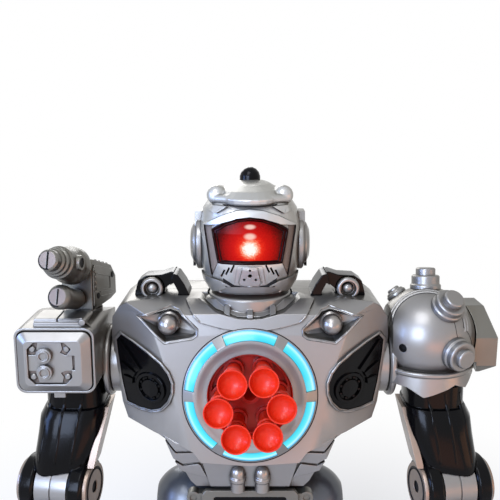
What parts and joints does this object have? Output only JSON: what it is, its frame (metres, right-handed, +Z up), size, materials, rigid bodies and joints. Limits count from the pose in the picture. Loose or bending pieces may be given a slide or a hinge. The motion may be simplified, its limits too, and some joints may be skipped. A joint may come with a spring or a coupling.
{
  "type": "toy robot",
  "caption": "Standing toy robot with a turning head, posable arms, a swivelling shoulder cannon, walking legs and a revolving launcher of suction darts in its chest.",
  "frame": {"origin": "middle of the robot's box at floor level, under the soles", "axes": "+Z up, the robot faces -Y, its own left hand is on +X"},
  "size_m": [0.3088, 0.1374, 0.3491],
  "materials": {
    "satin_silver": "satin metallic paint",
    "gloss_black": "high gloss",
    "satin_black": "satin",
    "dark_grey": "satin",
    "window_blue": "translucent, lit from behind",
    "visor_red": "translucent, lit from behind",
    "lamp_red": "lamp and reflector",
    "soft_orange": "soft, semi-gloss",
    "orange_shell": "gloss",
    "dark_red": "semi-gloss",
    "plated": "plated",
    "screw_steel": "plain",
    "motor_steel": "plain",
    "board_green": "coated",
    "cell_wrap": "wrapped",
    "roller_rubber": "matte"
  },
  "bodies": {
    "torso": {"chest_shell": "satin_silver", "back_shell": "satin_silver", "chest_ring": "satin_silver", "light_ring": "window_blue", "drum_housing": "orange_shell", "wing_panels": "gloss_black", "chest_studs": "plated", "jet_brackets": "gloss_black", "jet_nozzles": "satin_silver", "neck_collar": "satin_silver", "belly_bullets": "plated", "belt_plate": "satin_silver", "pelvis": "satin_black", "battery_cover": "satin_silver", "speaker_grille": "dark_grey", "case_screws": "screw_steel", "circuit_board": "board_green", "drive_motor": "motor_steel", "battery_cells": "cell_wrap"},
    "switch": {"power_switch": "satin_black"},
    "head": {"helmet_front": "satin_silver", "helmet_rear": "satin_silver", "visor": "visor_red", "face_guard": "satin_silver", "helmet_crest": "satin_silver", "receiver_dome": "gloss_black", "ear_pods": "satin_silver", "eye_lamp": "lamp_red"},
    "drum": {"dart_drum": "dark_red"},
    "arm_right": {"shoulder_box": "satin_silver", "box_panel": "satin_silver", "upper_arm_right": "gloss_black", "elbow_caps_right": "satin_silver"},
    "cannon": {"cannon_body": "satin_silver", "cannon_barrels": "satin_silver"},
    "arm_left": {"shoulder_dome": "satin_silver", "dome_caps": "satin_silver", "dome_pack": "satin_silver", "upper_arm_left": "gloss_black", "elbow_caps_left": "satin_silver"},
    "dart_1": {"dart_1": "soft_orange"},
    "dart_2": {"dart_2": "soft_orange"},
    "dart_3": {"dart_3": "soft_orange"},
    "dart_4": {"dart_4": "soft_orange"},
    "dart_5": {"dart_5": "soft_orange"},
    "dart_6": {"dart_6": "soft_orange"},
    "forearm_left": {"forearm_left": "satin_silver"},
    "hand_left": {"hand_left": "gloss_black"},
    "leg_left": {"leg_left": "dark_grey", "shin_guard_left": "satin_silver"},
    "foot_left": {"foot_left": "satin_silver"},
    "front_roller_left": {"front_roller_left": "roller_rubber"},
    "rear_roller_left": {"rear_roller_left": "roller_rubber"},
    "forearm_right": {"forearm_right": "satin_silver"},
    "hand_right": {"hand_right": "gloss_black"},
    "leg_right": {"leg_right": "dark_grey", "shin_guard_right": "satin_silver"},
    "foot_right": {"foot_right": "satin_silver"},
    "front_roller_right": {"front_roller_right": "roller_rubber"},
    "rear_roller_right": {"rear_roller_right": "roller_rubber"}
  },
  "joints": [
    {"name": "head_yaw", "type": "hinge", "parent": "torso", "child": "head", "pos_m": [-0.00464, 0.00973, 0.272], "axis": [0, 0, 1], "range_deg": [-60, 60]},
    {"name": "drum_spin", "type": "hinge", "parent": "torso", "child": "drum", "pos_m": [-0.00464, -0.03427, 0.215], "axis": [0, -0.9877, 0.1564], "continuous": true},
    {"name": "dart_1_slide", "type": "slide", "parent": "drum", "child": "dart_1", "axis": [0, -0.9877, 0.1564], "range_m": [0, 0.045]},
    {"name": "dart_2_slide", "type": "slide", "parent": "drum", "child": "dart_2", "axis": [0, -0.9877, 0.1564], "range_m": [0, 0.045]},
    {"name": "dart_3_slide", "type": "slide", "parent": "drum", "child": "dart_3", "axis": [0, -0.9877, 0.1564], "range_m": [0, 0.045]},
    {"name": "dart_4_slide", "type": "slide", "parent": "drum", "child": "dart_4", "axis": [0, -0.9877, 0.1564], "range_m": [0, 0.045]},
    {"name": "dart_5_slide", "type": "slide", "parent": "drum", "child": "dart_5", "axis": [0, -0.9877, 0.1564], "range_m": [0, 0.045]},
    {"name": "dart_6_slide", "type": "slide", "parent": "drum", "child": "dart_6", "axis": [0, -0.9877, 0.1564], "range_m": [0, 0.045]},
    {"name": "shoulder_left", "type": "hinge", "parent": "torso", "child": "arm_left", "pos_m": [0.08336, 0.01373, 0.222], "axis": [-1, 0, 0], "range_deg": [-60, 170]},
    {"name": "elbow_left", "type": "hinge", "parent": "arm_left", "child": "forearm_left", "pos_m": [0.12636, -0.00827, 0.144], "axis": [-0.9848, -0.1736, 0], "range_deg": [-35, 60]},
    {"name": "wrist_left", "type": "hinge", "parent": "forearm_left", "child": "hand_left", "pos_m": [0.13214, -0.04103, 0.09649], "axis": [0.0996, -0.5649, -0.8192], "range_deg": [-90, 90]},
    {"name": "shoulder_right", "type": "hinge", "parent": "torso", "child": "arm_right", "pos_m": [-0.09264, 0.01373, 0.222], "axis": [-1, 0, 0], "range_deg": [-60, 170]},
    {"name": "elbow_right", "type": "hinge", "parent": "arm_right", "child": "forearm_right", "pos_m": [-0.12864, -0.00827, 0.144], "axis": [-0.9848, 0.1736, 0], "range_deg": [-35, 60]},
    {"name": "wrist_right", "type": "hinge", "parent": "forearm_right", "child": "hand_right", "pos_m": [-0.13442, -0.04103, 0.09649], "axis": [-0.0996, -0.5649, -0.8192], "range_deg": [-90, 90]},
    {"name": "cannon_swivel", "type": "hinge", "parent": "arm_right", "child": "cannon", "pos_m": [-0.11014, 0.01373, 0.26], "axis": [0, 0, 1], "range_deg": [0, 14]},
    {"name": "hip_left", "type": "hinge", "parent": "torso", "child": "leg_left", "pos_m": [0.03736, 0.01373, 0.118], "axis": [1, 0, 0], "range_deg": [-10, 10]},
    {"name": "ankle_left", "type": "hinge", "parent": "leg_left", "child": "foot_left", "pos_m": [0.03736, 0.01373, 0.034], "axis": [1, 0, 0], "range_deg": [-10, 10]},
    {"name": "front_roller_left_spin", "type": "hinge", "parent": "foot_left", "child": "front_roller_left", "pos_m": [0.03736, -0.02427, 0.008], "axis": [1, 0, 0], "continuous": true},
    {"name": "rear_roller_left_spin", "type": "hinge", "parent": "foot_left", "child": "rear_roller_left", "pos_m": [0.03736, 0.04773, 0.008], "axis": [1, 0, 0], "continuous": true},
    {"name": "hip_right", "type": "hinge", "parent": "torso", "child": "leg_right", "pos_m": [-0.04664, 0.01373, 0.118], "axis": [1, 0, 0], "range_deg": [-10, 10]},
    {"name": "ankle_right", "type": "hinge", "parent": "leg_right", "child": "foot_right", "pos_m": [-0.04664, 0.01373, 0.034], "axis": [1, 0, 0], "range_deg": [-10, 10]},
    {"name": "front_roller_right_spin", "type": "hinge", "parent": "foot_right", "child": "front_roller_right", "pos_m": [-0.04664, -0.02427, 0.008], "axis": [1, 0, 0], "continuous": true},
    {"name": "rear_roller_right_spin", "type": "hinge", "parent": "foot_right", "child": "rear_roller_right", "pos_m": [-0.04664, 0.04773, 0.008], "axis": [1, 0, 0], "continuous": true},
    {"name": "power_switch_slide", "type": "slide", "parent": "torso", "child": "switch", "axis": [0, 0, -1], "range_m": [0, 0.004]}
  ],
  "couplings": [
    {"joint": "hip_right", "follows": "hip_left", "ratio": -1},
    {"joint": "ankle_left", "follows": "hip_left", "ratio": -1},
    {"joint": "ankle_right", "follows": "hip_left", "ratio": 1}
  ]
}
